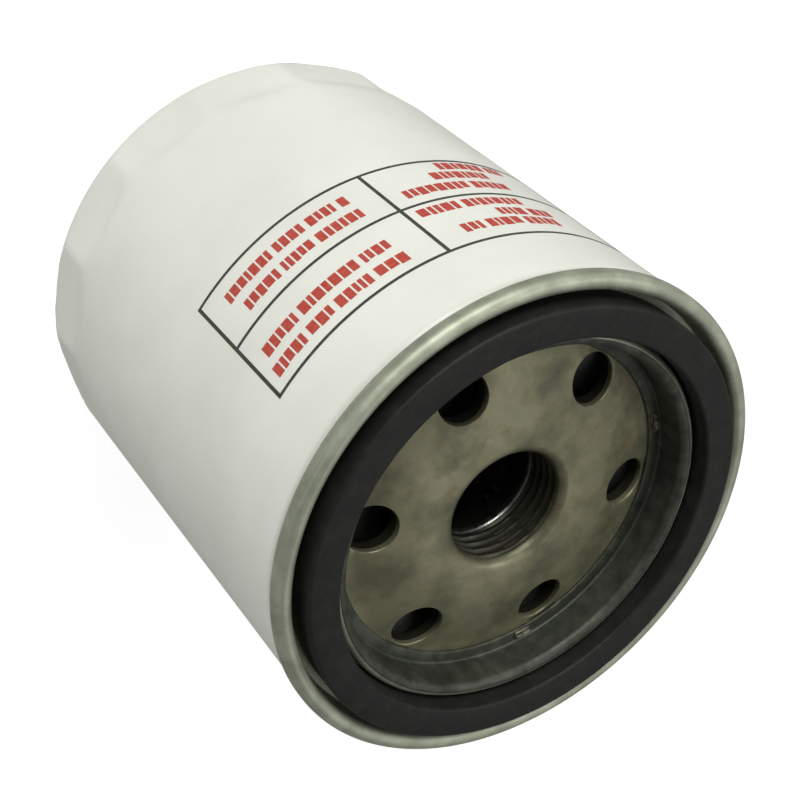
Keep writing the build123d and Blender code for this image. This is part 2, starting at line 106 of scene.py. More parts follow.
PITCH = 25.4 / 16  # 3/4-16 UNF thread
THREAD_MINOR = 8.7
THREAD_DEPTH = 0.825
THREAD_LEAD_IN = 1.6  # radius of the rounded mouth
THREAD_TOP = HUB_TOP - THREAD_LEAD_IN
RELIEF_HEIGHT = 1.5  # plain bore below the thread
RELIEF_DEPTH = 0.9

CAP_TOP = top("upper_end_cap")
CAP_RADIUS = reach("upper_end_cap")
LOWER_CAP_BOTTOM = bottom("lower_end_cap")
PAPER_LOW = bottom("pleated_paper")
PAPER_HIGH = top("pleated_paper")
PAPER_OUTER = reach("pleated_paper")


# ---------------------------------------------------------------- outlines in the (radius, height) plane
def turn_between(incoming, outgoing):
    """Signed angle from one direction to the next, positive to the left."""
    cross = incoming.x * outgoing.y - incoming.y * outgoing.x
    return atan2(cross, incoming.dot(outgoing))


def rounded(points, radii, steps=6):
    """Line through the points, with an arc of the given radius at each inner corner."""
    corners = [Vector(point) for point in points]
    line = [corners[0]]
    for before, corner, after, radius in zip(corners, corners[1:], corners[2:], radii):
        incoming = (corner - before).normalized()
        outgoing = (after - corner).normalized()
        turn = turn_between(incoming, outgoing)
        start = corner - incoming * radius * tan(abs(turn) / 2)
        side = 1 if turn > 0 else -1
        centre = start + Vector((-incoming.y, incoming.x)) * side * radius
        for step in range(steps + 1):
            spoke = Matrix.Rotation(turn * step / steps, 2) @ (start - centre)
            line.append(centre + spoke)
    line.append(corners[-1])
    return without_repeats(line)


def without_repeats(line, closest=1e-4):
    """The line with points that lie on their neighbour left out."""
    kept = [line[0]]
    for point in line[1:]:
        if (point - kept[-1]).length > closest:
            kept.append(point)
    return kept


def divided(line, longest):
    """The line with its long runs divided, so that no run is longer than asked."""
    fine = [line[0]]
    for start, end in zip(line, line[1:]):
        parts = max(1, ceil((end - start).length / longest))
        fine += [start.lerp(end, part / parts) for part in range(1, parts + 1)]
    return fine


def sheet_sides(line, thickness=SHEET):
    """The two faces of a sheet whose centre line is given: (left side, right side)."""
    left, right = [], []
    for number, point in enumerate(line):
        before = line[max(number - 1, 0)]
        after = line[min(number + 1, len(line) - 1)]
        incoming = (point - before).normalized() if number else (after - point).normalized()
        outgoing = (after - point).normalized() if number < len(line) - 1 else incoming
        along = (incoming + outgoing).normalized()
        half = thickness / 2 / max(along.dot(incoming), 0.5)
        normal = Vector((-along.y, along.x))
        left.append(point + normal * half)
        right.append(point - normal * half)
    return left, right


def edge_arc(start, end, steps=5):
    """Half circle from start to end, turning to the right: the rounded edge of a sheet."""
    centre = (start + end) / 2
    return [centre + Matrix.Rotation(-pi * step / steps, 2) @ (start - centre) for step in range(1, steps)]


def sheet_outline(line):
    """Closed outline of a sheet with rounded edges."""
    left, right = sheet_sides(line)
    return left + edge_arc(left[-1], right[-1]) + right[::-1] + edge_arc(right[0], left[0])


def block_outline(points, radii, steps=4):
    """Closed outline through the points, each corner rounded by its own radius."""
    middle = (Vector(points[0]) + Vector(points[-1])) / 2
    return rounded([middle, *points, middle], radii, steps)[:-1]


# ---------------------------------------------------------------- meshes
def finished(name, mesh_tool, sharp_angle=32):
    """Object from a bmesh in millimetres, with smooth faces and sharp edges kept."""
    bmesh.ops.recalc_face_normals(mesh_tool, faces=mesh_tool.faces)
    mesh = bpy.data.meshes.new(name)
    mesh_tool.to_mesh(mesh)
    mesh_tool.free()
    mesh.transform(Matrix.Scale(MM, 4))
    mesh.shade_smooth()
    mesh.set_sharp_from_angle(angle=radians(sharp_angle))
    piece = bpy.data.objects.new(name, mesh)
    bpy.context.scene.collection.objects.link(piece)
    return piece


def turned_mesh(outline, facets=ROUND, shape=None):
    """Closed surface of revolution about Z.

    shape moves a point: it takes (angle, radius, height) and gives (radius, height).
    """
    mesh_tool = bmesh.new()
    rings = []
    for radius, height in outline:
        if radius < 1e-6:
            rings.append([mesh_tool.verts.new((0, 0, height))])
            continue
        ring = []
        for facet in range(facets):
            angle = 2 * pi * facet / facets
            r, z = shape(angle, radius, height) if shape else (radius, height)
            ring.append(mesh_tool.verts.new((r * cos(angle), r * sin(angle), z)))
        rings.append(ring)
    for ring, following in zip(rings, rings[1:] + rings[:1]):
        if len(ring) == 1 and len(following) == 1:
            continue
        for facet in range(facets):
            beside = (facet + 1) % facets
            corners = [
                ring[facet % len(ring)],
                ring[beside % len(ring)],
                following[beside % len(following)],
                following[facet % len(following)],
            ]
            distinct = list(dict.fromkeys(corners))
            mesh_tool.faces.new(distinct)
    return mesh_tool


def turned(name, outline, facets=ROUND, shape=None, sharp_angle=40):
    return finished(name, turned_mesh(outline, facets, shape), sharp_angle)


def skin_between(mesh_tool, rings):
    """Faces from each ring of points to the next."""
    for ring, following in zip(rings, rings[1:]):
        for side in range(len(ring)):
            beside = (side + 1) % len(ring)
            mesh_tool.faces.new([ring[side], ring[beside], following[beside], following[side]])
    mesh_tool.faces.new(rings[0])
    mesh_tool.faces.new(rings[-1])


def wire_along(name, points, radius, sides=16):
    """Round wire along a line of points."""
    mesh_tool = bmesh.new()
    rings = []
    for number, point in enumerate(points):
        before = points[max(number - 1, 0)]
        after = points[min(number + 1, len(points) - 1)]
        tangent = (after - before).normalized()
        outward = Vector((point.x, point.y, 0)).normalized()
        across = tangent.cross(outward).normalized()
        outward = across.cross(tangent)
        ring = []
        for side in range(sides):
            angle = 2 * pi * side / sides
            spoke = outward * cos(angle) + across * sin(angle)
            ring.append(mesh_tool.verts.new(point + spoke * radius))
        rings.append(ring)
    skin_between(mesh_tool, rings)
    return finished(name, mesh_tool, 60)


def merge(target, source):
    """Adds a bmesh to another one, and frees it."""
    spare = bpy.data.meshes.new("spare")
    source.to_mesh(spare)
    source.free()
    target.from_mesh(spare)
    bpy.data.meshes.remove(spare)


def stands_for(piece, node, body, slot):
    """The piece rides on a body in place of a CAD node, with the material of its slot."""
    piece.data.materials.clear()
    piece.data.materials.append(MATERIALS[slot])
    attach(piece, body)
    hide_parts(node)


def smoothstep(value):
    clipped = min(max(value, 0.0), 1.0)
    return clipped * clipped * (3 - 2 * clipped)


# ---------------------------------------------------------------- materials
def srgb(red, green, blue):
    """Linear colour with alpha, from display values between 0 and 1."""
    def linear(value):
        return value / 12.92 if value <= 0.04045 else ((value + 0.055) / 1.055) ** 2.4
    return (linear(red), linear(green), linear(blue), 1)


class Finish:
    """A Principled material and the nodes that vary it."""

    def __init__(self, name, colour, metallic, roughness):
        self.material = bpy.data.materials.new(name)
        self.material.use_nodes = True
        self.tree = self.material.node_tree
        self.shader = self.tree.nodes["Principled BSDF"]
        self.set("Base Color", colour)
        self.set("Metallic", metallic)
        self.set("Roughness", roughness)
        self.place = self.node("ShaderNodeTexCoord").outputs["Object"]

    def node(self, kind, **values):
        made = self.tree.nodes.new(kind)
        for key, value in values.items():
            setattr(made, key, value)
        return made

    def link(self, source, target):
        self.tree.links.new(source, target)

    def set(self, socket, value):
        self.shader.inputs[socket].default_value = value

    def drive(self, socket, source):
        self.link(source, self.shader.inputs[socket])

    def maths(self, operation, first, second=0.0):
        made = self.node("ShaderNodeMath", operation=operation)
        for socket, value in zip(made.inputs, (first, second)):
            if isinstance(value, (int, float)):
                socket.default_value = value
            else:
                self.link(value, socket)
        return made.outputs[0]

    def axes(self):
        """Object coordinates, in metres: x, y and z."""
        split = self.node("ShaderNodeSeparateXYZ")
        self.link(self.place, split.inputs[0])
        return split.outputs

    def radius(self):
        """Distance from the filter's axis, in metres."""
        x, y, _ = self.axes()
        squares = self.maths("ADD", self.maths("MULTIPLY", x, x), self.maths("MULTIPLY", y, y))
        return self.maths("SQRT", squares)

    def polar(self, around, along, out):
        """Coordinates of a turned piece: angle, height and radius, each with its own scale."""
        x, y, z = self.axes()
        angle = self.maths("ARCTAN2", y, x)
        join = self.node("ShaderNodeCombineXYZ")
        self.link(self.maths("MULTIPLY", angle, around), join.inputs[0])
        self.link(self.maths("MULTIPLY", z, along / MM), join.inputs[1])
        self.link(self.maths("MULTIPLY", self.radius(), out / MM), join.inputs[2])
        return join.outputs[0]

    def scaled(self, x, y, z):
        """Object coordinates stretched by a scale per millimetre along each axis."""
        mapping = self.node("ShaderNodeMapping")
        mapping.inputs["Scale"].default_value = (x / MM, y / MM, z / MM)
        self.link(self.place, mapping.inputs["Vector"])
        return mapping.outputs[0]

    def noise(self, scale, detail, roughness, where=None):
        """Noise at a scale per millimetre, or in the scale of the coordinates that it is given."""
        made = self.node("ShaderNodeTexNoise")
        made.inputs["Scale"].default_value = scale if where else scale / MM
        made.inputs["Detail"].default_value = detail
        made.inputs["Roughness"].default_value = roughness
        self.link(where or self.place, made.inputs["Vector"])
        return made.outputs["Fac"]

    def ramp(self, source, *stops):
        """Colours or values along a source. Each stop is (position, colour or value)."""
        made = self.node("ShaderNodeValToRGB")
        elements = made.color_ramp.elements
        while len(elements) < len(stops):
            elements.new(0.5)
        for element, (position, colour) in zip(elements, stops):
            element.position = position
            element.color = colour if isinstance(colour, tuple) else (colour, colour, colour, 1)
        self.link(source, made.inputs["Fac"])
        return made.outputs["Color"]

    def mix(self, amount, first, second, blend="MIX"):
        made = self.node("ShaderNodeMix", data_type="RGBA", blend_type=blend)
        for socket, value in zip((0, 6, 7), (amount, first, second)):
            if isinstance(value, (int, float, tuple)):
                made.inputs[socket].default_value = value
            else:
                self.link(value, made.inputs[socket])
        return made.outputs[2]

    def bump(self, height, strength, distance, after=None):
        """Bump from a height source, on top of an earlier one. distance is the height of full white."""
        made = self.node("ShaderNodeBump")
        made.inputs["Strength"].default_value = strength
        made.inputs["Distance"].default_value = distance * MM
        self.link(height, made.inputs["Height"])
        if after:
            self.link(after, made.inputs["Normal"])
        self.link(made.outputs[0], self.shader.inputs["Normal"])
        return made.outputs[0]


def can_paint():
    """Semi-gloss warm white enamel: faint mottling, orange peel and a little handling grime."""
    finish = Finish("can_paint", srgb(0.9, 0.9, 0.87), 0.0, 0.34)
    clouds = finish.noise(0.06, 4, 0.55)
    tone = finish.ramp(clouds, (0.3, srgb(0.845, 0.848, 0.808)), (0.7, srgb(0.878, 0.881, 0.843)))
    specks = finish.ramp(finish.noise(1.6, 2, 0.6), (0.72, 0.0), (0.78, 1.0))
    faint = finish.maths("MULTIPLY", specks, 0.12)
    finish.drive("Base Color", finish.mix(faint, tone, srgb(0.62, 0.6, 0.54)))
    finish.drive("Roughness", finish.ramp(finish.noise(0.25, 4, 0.6), (0.3, 0.3), (0.75, 0.42)))
    finish.set("Coat Weight", 0.15)
    finish.set("Coat Roughness", 0.2)
    peel = finish.bump(finish.noise(0.9, 2, 0.5), 0.25, 0.03)
    finish.bump(finish.noise(5.0, 2, 0.5), 0.15, 0.008, peel)
    return finish.material


def zinc_sheet():
    """Galvanised sheet: greenish grey, satin, drawn lines round the axis, with painted shade darkening it
    inside the recess.
    """
    finish = Finish("zinc_sheet", srgb(0.7, 0.72, 0.64), 0.8, 0.36)
    streaks = finish.noise(1.0, 5, 0.6, finish.polar(3.0, 2.6, 2.6))
    clouds = finish.noise(0.22, 5, 0.6)
    tone = finish.ramp(clouds, (0.32, srgb(0.66, 0.68, 0.6)), (0.68, srgb(0.8, 0.82, 0.74)))
    drawn = finish.mix(0.22, tone, finish.ramp(streaks, (0.3, 0.25), (0.7, 0.65)), "OVERLAY")
    # Painted shade: inside the recess the lip and flange are mixed towards dark grey, by an amount that
    # varies with noise.
    recess_radius = GASKET_INNER - 1.1
    recess = finish.maths("LESS_THAN", finish.radius(), recess_radius * MM)
    shade_depth = finish.ramp(finish.noise(0.4, 4, 0.6), (0.3, 0.95), (0.7, 0.8))
    with_painted_shade = finish.mix(finish.maths("MULTIPLY", recess, shade_depth), drawn, srgb(0.2, 0.21, 0.19))
    finish.drive("Base Color", with_painted_shade)
    finish.drive("Roughness", finish.ramp(streaks, (0.3, 0.5), (0.7, 0.64)))
    finish.bump(streaks, 0.12, 0.02)
    return finish.material


def painted_shade_in_thread(finish):
    """Painted shade mask: 1 down in the threaded hole, fading to 0 at its mouth."""
    fade_from = HUB_TOP - 0.1
    fade_to = HUB_TOP - 2.0
    bore = finish.maths("LESS_THAN", finish.radius(), (THREAD_MINOR + THREAD_LEAD_IN) * MM)
    depth = finish.node("ShaderNodeMapRange")
    finish.link(finish.axes()[2], depth.inputs["Value"])
    depth.inputs["From Min"].default_value = fade_from * MM
    depth.inputs["From Max"].default_value = fade_to * MM
    return finish.maths("MULTIPLY", bore, depth.outputs[0])


def painted_shade_in_inlets(finish):
    """Painted shade mask: 1 on the walls of the inlet holes, below the edge of the dished face."""
    edge = 0.9
    margin = 1.0
    fall = finish.maths("MULTIPLY", finish.maths("SUBTRACT", finish.radius(), HUB_RADIUS * MM), SLOPE)
    face = finish.maths("SUBTRACT", HUB_TOP * MM, fall)
    below = finish.maths("SUBTRACT", face, finish.axes()[2])
    sunk = finish.maths("GREATER_THAN", below, edge * MM)
    off_hub = finish.maths("GREATER_THAN", finish.radius(), (HUB_RADIUS + margin) * MM)
    off_valley = finish.maths("LESS_THAN", finish.radius(), (VALLEY_INNER + margin) * MM)
    return finish.maths("MULTIPLY", finish.maths("MULTIPLY", sunk, off_hub), off_valley)


def plate_steel():
    """Thick plated steel, blotchy: olive grey with brown stains, with painted shade darkening the inside of
    its holes.
    """
    finish = Finish("plate_steel", srgb(0.55, 0.54, 0.44), 0.6, 0.42)
    tone = finish.ramp(
        finish.noise(0.13, 5, 0.58),
        (0.28, srgb(0.38, 0.38, 0.32)),
        (0.44, srgb(0.48, 0.48, 0.38)),
        (0.58, srgb(0.57, 0.56, 0.45)),
        (0.75, srgb(0.52, 0.53, 0.45)),
    )
    stains = finish.ramp(finish.noise(0.3, 4, 0.6), (0.56, 0.0), (0.7, 0.45))
    stained = finish.mix(stains, tone, srgb(0.52, 0.45, 0.3))
    specks = finish.ramp(finish.noise(2.4, 2, 0.6), (0.62, 0.0), (0.72, 0.3))
    speckled = finish.mix(specks, stained, srgb(0.36, 0.36, 0.3))
    # Painted shade: the threaded hole, its mouth and the inlet hole walls are mixed towards near black.
    painted_shade = finish.maths("MAXIMUM", painted_shade_in_thread(finish), painted_shade_in_inlets(finish))
    with_painted_shade = finish.mix(finish.maths("MULTIPLY", painted_shade, 0.88), speckled, srgb(0.13, 0.13, 0.11))
    finish.drive("Base Color", with_painted_shade)
    finish.drive("Roughness", finish.ramp(finish.noise(0.5, 5, 0.65), (0.3, 0.36), (0.72, 0.56)))
    dents = finish.bump(finish.noise(0.7, 4, 0.6), 0.25, 0.06)
    finish.bump(finish.noise(6.0, 2, 0.6), 0.2, 0.015, dents)
    return finish.material


def weld_metal():
    """Dull, slightly burnt steel with a rough skin."""
    finish = Finish("weld_metal", srgb(0.42, 0.41, 0.36), 0.7, 0.5)
    patches = finish.noise(1.2, 4, 0.6)
    tone = finish.ramp(patches, (0.35, srgb(0.26, 0.24, 0.2)), (0.65, srgb(0.55, 0.54, 0.48)))
    finish.drive("Base Color", tone)
    finish.bump(finish.noise(4.0, 3, 0.6), 0.5, 0.06)
    return finish.material


def moulded_rubber(name, value, roughness):
    """Black rubber with a fine moulded skin and a trace of dust."""
    finish = Finish(name, srgb(value, value * 1.04, value * 1.02), 0.0, roughness)
    finish.set("Specular IOR Level", 0.35)
    dust = finish.ramp(finish.noise(0.35, 5, 0.65), (0.45, 0.0), (0.8, 0.18))
    black = srgb(value, value * 1.04, value * 0.92)
    finish.drive("Base Color", finish.mix(dust, black, srgb(0.3, 0.31, 0.27)))
    patches = finish.noise(1.5, 4, 0.6)
    finish.drive("Roughness", finish.ramp(patches, (0.3, roughness - 0.08), (0.7, roughness + 0.1)))
    rings = finish.noise(1.0, 3, 0.5, finish.polar(4.0, 1.5, 3.0))
    skin = finish.bump(rings, 0.15, 0.03)
    finish.bump(finish.noise(7.0, 2, 0.5), 0.25, 0.012, skin)
    return finish.material


def bright_tin():
    """Bright tin plate with fine rolling lines."""
    finish = Finish("tin_plate", srgb(0.76, 0.76, 0.74), 0.95, 0.25)
    lines = finish.noise(1.0, 4, 0.6, finish.scaled(0.05, 4.0, 0.05))
    finish.drive("Base Color", finish.ramp(lines, (0.3, srgb(0.68, 0.68, 0.66)), (0.7, srgb(0.8, 0.8, 0.78))))
    finish.drive("Roughness", finish.ramp(lines, (0.3, 0.2), (0.7, 0.38)))
    finish.bump(lines, 0.1, 0.01)
    return finish.material


def oiled_steel(name, value):
    """Bare oiled steel: dark streaks and a wet sheen."""
    finish = Finish(name, srgb(value, value, value * 0.97), 0.95, 0.3)
    streaks = finish.noise(0.5, 5, 0.6)
    dark = srgb(value * 0.75, value * 0.74, value * 0.68)
    bright = srgb(value * 1.1, value * 1.1, value * 1.07)
    finish.drive("Base Color", finish.ramp(streaks, (0.3, dark), (0.7, bright)))
    finish.drive("Roughness", finish.ramp(finish.noise(1.2, 3, 0.6), (0.3, 0.22), (0.7, 0.42)))
    finish.bump(streaks, 0.15, 0.02)
    return finish.material


def plastisol():
    """Cured grey-brown adhesive with small bubbles."""
    finish = Finish("plastisol", srgb(0.6, 0.57, 0.5), 0.0, 0.55)
    bubbles = finish.noise(1.5, 3, 0.6)
    tone = finish.ramp(bubbles, (0.3, srgb(0.52, 0.49, 0.42)), (0.7, srgb(0.66, 0.63, 0.56)))
    finish.drive("Base Color", tone)
    finish.bump(bubbles, 0.4, 0.1)
    return finish.material


def filter_paper():
    """Resin-treated paper: warm yellow with matted fibres."""
    finish = Finish("filter_paper", srgb(0.86, 0.78, 0.58), 0.0, 0.85)
    fibres = finish.noise(1.0, 6, 0.7, finish.scaled(3.0, 3.0, 0.7))
    tone = finish.ramp(fibres, (0.3, srgb(0.78, 0.68, 0.46)), (0.7, srgb(0.92, 0.85, 0.68)))
    finish.drive("Base Color", tone)
    finish.bump(fibres, 0.4, 0.05)
    return finish.material


def poppet_nylon():
    """Cream nylon moulding."""
    finish = Finish("poppet_nylon", srgb(0.88, 0.86, 0.8), 0.0, 0.4)
    clouds = finish.noise(0.8, 4, 0.6)
    tone = finish.ramp(clouds, (0.3, srgb(0.84, 0.82, 0.75)), (0.7, srgb(0.92, 0.9, 0.85)))
    finish.drive("Base Color", tone)
    finish.set("Subsurface Weight", 0.1)
    finish.bump(finish.noise(4.0, 2, 0.5), 0.15, 0.02)
    return finish.material


def printing_ink(name, colour, faded):
    """Ink on enamel: slightly uneven, with the enamel's gloss."""
    finish = Finish(name, colour, 0.0, 0.4)
    patches = finish.noise(1.8, 4, 0.6)
    finish.drive("Base Color", finish.mix(finish.ramp(patches, (0.35, 0.0), (0.8, 0.5)), colour, faded))
    finish.bump(finish.noise(6.0, 2, 0.5), 0.1, 0.01)
    return finish.material


MATERIALS = {
    "can_paint": can_paint(),
    "zinc_sheet": zinc_sheet(),
    "plate_steel": plate_steel(),
    "weld_metal": weld_metal(),
    "gasket_rubber": moulded_rubber("gasket_rubber", 0.085, 0.55),
    "valve_rubber": moulded_rubber("valve_rubber", 0.1, 0.42),
    "seam_compound": moulded_rubber("seam_compound", 0.3, 0.6),
    "tin_plate": bright_tin(),
    "tube_steel": oiled_steel("tube_steel", 0.62),
    "spring_steel": oiled_steel("spring_steel", 0.5),
    "plastisol": plastisol(),
    "filter_paper": filter_paper(),
    "poppet_nylon": poppet_nylon(),
}
for part in frame["record"]["subparts"]:
    slots = NODES[part["node"]].data.materials
    slots.clear()
    slots.append(MATERIALS[part["material_slot"]])


# ---------------------------------------------------------------- can
FLUTE_COUNT = 15  # flats for a cap wrench
FLUTE_TOP = 12.0
FLUTE_FADE = 3.0
FLUTE_DEPTH = 0.8
FLUTE_SOFTNESS = 0.035  # rounding of the edge between a flat and the round wall
FACETS_PER_FLUTE = 20
FOOT_CORNER = 5.5
RECESS_RADIUS = 15.0  # pushed-in centre of the closed end
RECESS_HEIGHT = 2.2
RECESS_BEND = 1.2
NECK_LOW = 81.0  # the wall steps in between these levels
NECK_HIGH = 82.0
NECK_BEND = 0.8
SEAM_CURL_LEVEL = SEAM_TOP - SHEET * 2.5
SEAM_HOOK_LEVEL = SEAM_CURL_LEVEL - 0.65  # the lid's edge turns back under the can's edge here


def seam_layer(number):
    """Radius of the centre line of one of the seam's five layers, counted inward from the outermost."""
    return SEAM_RADIUS - SHEET * (number + 0.5)


def fluted(angle, radius, height):
    """Pulls the lower wall in to flats. Works on both faces of the sheet."""
    if height > FLUTE_TOP + FLUTE_FADE or radius < CAN_RADIUS / 2:
        return radius, height
    half_flat = pi / FLUTE_COUNT
    off_centre = (angle + half_flat) % (2 * half_flat) - half_flat
    depth = FLUTE_DEPTH * (1 - smoothstep((height - FLUTE_TOP) / FLUTE_FADE))
    from_corner = hypot(max(radius - CAN_RADIUS + FOOT_CORNER, 0), max(FOOT_CORNER - height, 0))
    on_outside = from_corner > FOOT_CORNER - SHEET / 2
    wall = CAN_RADIUS if on_outside else CAN_RADIUS - SHEET
    flat = (wall - depth) / cos(off_centre)
    return radius - FLUTE_SOFTNESS * log(1 + exp((radius - flat) / FLUTE_SOFTNESS)), height


def make_can():
    wall_line = CAN_RADIUS - SHEET / 2
    foot_line = SHEET / 2
    recess_line = RECESS_HEIGHT + SHEET / 2
    curl_line = SEAM_CURL_LEVEL + SHEET
    centre_line = rounded(
        [
            (0, recess_line),
            (RECESS_RADIUS, recess_line),
            (RECESS_RADIUS + RECESS_HEIGHT, foot_line),
            (wall_line, foot_line),
            (wall_line, NECK_LOW),
            (seam_layer(3), NECK_HIGH),
            (seam_layer(3), curl_line),
            (seam_layer(1), curl_line),
            (seam_layer(1), SEAM_HOOK_LEVEL),
        ],
        [RECESS_BEND, RECESS_BEND, FOOT_CORNER - SHEET / 2, NECK_BEND, NECK_BEND, SHEET, SHEET],
        10,
    )
    inner, outer = sheet_sides(divided(centre_line, 1.6))
    outline = inner + edge_arc(inner[-1], outer[-1]) + outer[::-1]
    can = turned("can_body", outline, FLUTE_COUNT * FACETS_PER_FLUTE, fluted)
    stands_for(can, "can_shell", "can", "can_paint")


# ---------------------------------------------------------------- seaming lid and gasket
LID_EDGE = VALLEY_INNER + 0.7
LID_INNER_LEG = VALLEY_OUTER - 0.45  # centre lines of the two legs of the lip
LID_OUTER_LEG = GASKET_INNER - 0.55
LID_BEND = 0.6
LID_END_GAP = 0.3
GASKET_EDGE = 0.5


def make_lid():
    valley_line = VALLEY_TOP + SHEET / 2
    channel_line = CHANNEL_FLOOR - SHEET / 2
    lip_line = LIP_TOP - SHEET / 2
    seam_line = SEAM_TOP - SHEET / 2
    hook_line = SEAM_HOOK_LEVEL - SHEET
    lip_bend = (LID_OUTER_LEG - LID_INNER_LEG) / 2
    centre_line = rounded(
        [
            (LID_EDGE, valley_line),
            (LID_INNER_LEG, valley_line),
            (LID_INNER_LEG, lip_line),
            (LID_OUTER_LEG, lip_line),
            (LID_OUTER_LEG, channel_line),
            (seam_layer(4), channel_line),
            (seam_layer(4), seam_line),
            (seam_layer(0), seam_line),
            (seam_layer(0), hook_line),
            (seam_layer(2), hook_line),
            (seam_layer(2), SEAM_CURL_LEVEL - LID_END_GAP),
        ],
        [LID_BEND, lip_bend, lip_bend, LID_BEND, LID_BEND, SHEET * 2, SHEET * 2, SHEET, SHEET],
        10,
    )
    lid = turned("seam_and_gasket_channel", sheet_outline(centre_line))
    stands_for(lid, "seaming_lid", "can", "zinc_sheet")


def make_gasket():
    outline = block_outline(
        [
            (GASKET_INNER, CHANNEL_FLOOR),
            (GASKET_OUTER, CHANNEL_FLOOR),
            (GASKET_OUTER, GASKET_TOP),
            (GASKET_INNER, GASKET_TOP),
        ],
        [GASKET_EDGE] * 4,
    )
    gasket = turned("ring_gasket", outline, sharp_angle=60)
    stands_for(gasket, "gasket", "can", "gasket_rubber")


# ---------------------------------------------------------------- base plate with its thread and holes
HUB_ROUNDING = 34.0  # wide bend from the hub's face into the slope
HUB_UNDERSIDE_ROUNDING = 30.0
VALLEY_ROUNDING = 14.0
VALLEY_UNDERSIDE_ROUNDING = 1.5
RAMP_ROUNDING = 0.6
COLLAR_ROUNDING = 0.8
PLATE_EDGE = 0.3
RELIEF_EDGE = 0.2
PLATE_SHARP_ANGLE = 30
THREAD_STEP = PITCH / 14
INLET_COUNT = 6
INLET_RADIUS = 3.7
INLET_CIRCLE = 21.3
INLET_ANGLE = 13.0  # first inlet hole, degrees from +X
INLET_EDGE = 0.35


def threaded(angle, radius, height):
    """Cuts the right-hand thread into the collar's bore."""
    if radius > THREAD_MINOR + THREAD_DEPTH or not COLLAR_BOTTOM + RELIEF_HEIGHT < height < THREAD_TOP + 0.8:
        return radius, height
    turns = height / PITCH - angle / (2 * pi)
    off_groove = abs(turns - floor(turns) - 0.5) * PITCH
    groove = min(max((PITCH * 0.375 - off_groove) / (PITCH * 0.3125), 0.0), 1.0)
    run_in = smoothstep((THREAD_TOP + 0.6 - height) / 0.8)
    run_out = smoothstep((height - COLLAR_BOTTOM - RELIEF_HEIGHT) / 0.7)
    return max(radius, THREAD_MINOR + THREAD_DEPTH * groove * run_in * run_out), height


def plate_outline():
    """Section of the plate, from the lower end of the thread up the bore and round the whole plate."""
    bore_end = Vector((THREAD_MINOR, COLLAR_BOTTOM + RELIEF_HEIGHT))
    bore = divided([bore_end, Vector((THREAD_MINOR, THREAD_TOP))], THREAD_STEP)
    mouth = []
    mouth_steps = 10
    for step in range(1, mouth_steps + 1):
        angle = pi / 2 * step / mouth_steps
        out = THREAD_LEAD_IN * (1 - cos(angle))
        up = THREAD_LEAD_IN * sin(angle)
        mouth.append(Vector((THREAD_MINOR + out, THREAD_TOP + up)))
    corners = [  # point, and radius of its rounding
        ((HUB_RADIUS, HUB_TOP), HUB_ROUNDING),
        ((VALLEY_INNER, VALLEY_TOP), VALLEY_ROUNDING),
        ((VALLEY_OUTER, VALLEY_TOP), PLATE_EDGE),
        ((VALLEY_OUTER + RAMP_WIDTH, FLANGE_TOP), PLATE_EDGE),
        ((PLATE_RADIUS, FLANGE_TOP), PLATE_EDGE),
        ((PLATE_RADIUS, FLANGE_TOP - PLATE_THICKNESS), PLATE_EDGE),
        ((VALLEY_OUTER + RAMP_WIDTH + RAMP_OFFSET, FLANGE_TOP - PLATE_THICKNESS), RAMP_ROUNDING),
        ((VALLEY_OUTER + RAMP_OFFSET, VALLEY_BOTTOM), RAMP_ROUNDING),
        ((VALLEY_INNER, VALLEY_BOTTOM), VALLEY_UNDERSIDE_ROUNDING),
        ((HUB_RADIUS, HUB_TOP - PLATE_THICKNESS), HUB_UNDERSIDE_ROUNDING),
        ((COLLAR_RADIUS, HUB_TOP - PLATE_THICKNESS), COLLAR_ROUNDING),
        ((COLLAR_RADIUS, COLLAR_BOTTOM), PLATE_EDGE),
        ((THREAD_MINOR + RELIEF_DEPTH, COLLAR_BOTTOM), PLATE_EDGE),
        ((THREAD_MINOR + RELIEF_DEPTH, COLLAR_BOTTOM + RELIEF_HEIGHT - RELIEF_EDGE), RELIEF_EDGE),
    ]
    points = [point for point, _ in corners]
    radii = [radius for _, radius in corners]
    faces = rounded([mouth[-1], *points, bore_end], radii, 10)
    return bore + mouth + divided(faces, 1.5)[1:-1]


def inlet_punch(number):
    """Punch for one inlet hole, flared where it meets the sloping upper face."""
    middle = HUB_TOP - SLOPE * (INLET_CIRCLE - HUB_RADIUS)
    low = middle - 6
    high = middle + 4
    flared = INLET_RADIUS + INLET_EDGE * 3
    outline = rounded(
        [
            (0, low),
            (INLET_RADIUS, low),
            (INLET_RADIUS, middle),
            (flared, middle + 0.03),
            (flared, high),
            (0, high),
        ],
        [0.01, INLET_EDGE, 0.01, 0.01],
        5,
    )
    punch = turned_mesh(outline, 64)
    for vertex in punch.verts:
        if vertex.co.z > middle - 3:
            vertex.co.z -= SLOPE * vertex.co.x
    turn = Matrix.Rotation(radians(INLET_ANGLE + 360 / INLET_COUNT * number), 4, "Z")
    punch.transform(turn @ Matrix.Translation((INLET_CIRCLE, 0, 0)))
    return punch


def cut_away(piece, tool):
    """Cuts the tool's shape out of the piece, and removes the tool."""
    cut = piece.modifiers.new("holes", "BOOLEAN")
    cut.operation = "DIFFERENCE"
    cut.solver = "EXACT"
    cut.object = tool
    depsgraph = bpy.context.evaluated_depsgraph_get()
    mesh = bpy.data.meshes.new_from_object(piece.evaluated_get(depsgraph))
    piece.modifiers.clear()
    piece.data = mesh
    mesh.name = piece.name
    bpy.data.objects.remove(tool)


def make_plate():
    plate = turned("threaded_base_plate", plate_outline(), 192, threaded, PLATE_SHARP_ANGLE)
    punches = bmesh.new()
    for number in range(INLET_COUNT):
        merge(punches, inlet_punch(number))
    cut_away(plate, finished("punch", punches))
    plate.data.shade_smooth()
    plate.data.set_sharp_from_angle(angle=radians(PLATE_SHARP_ANGLE))
    stands_for(plate, "base_plate", "can", "plate_steel")


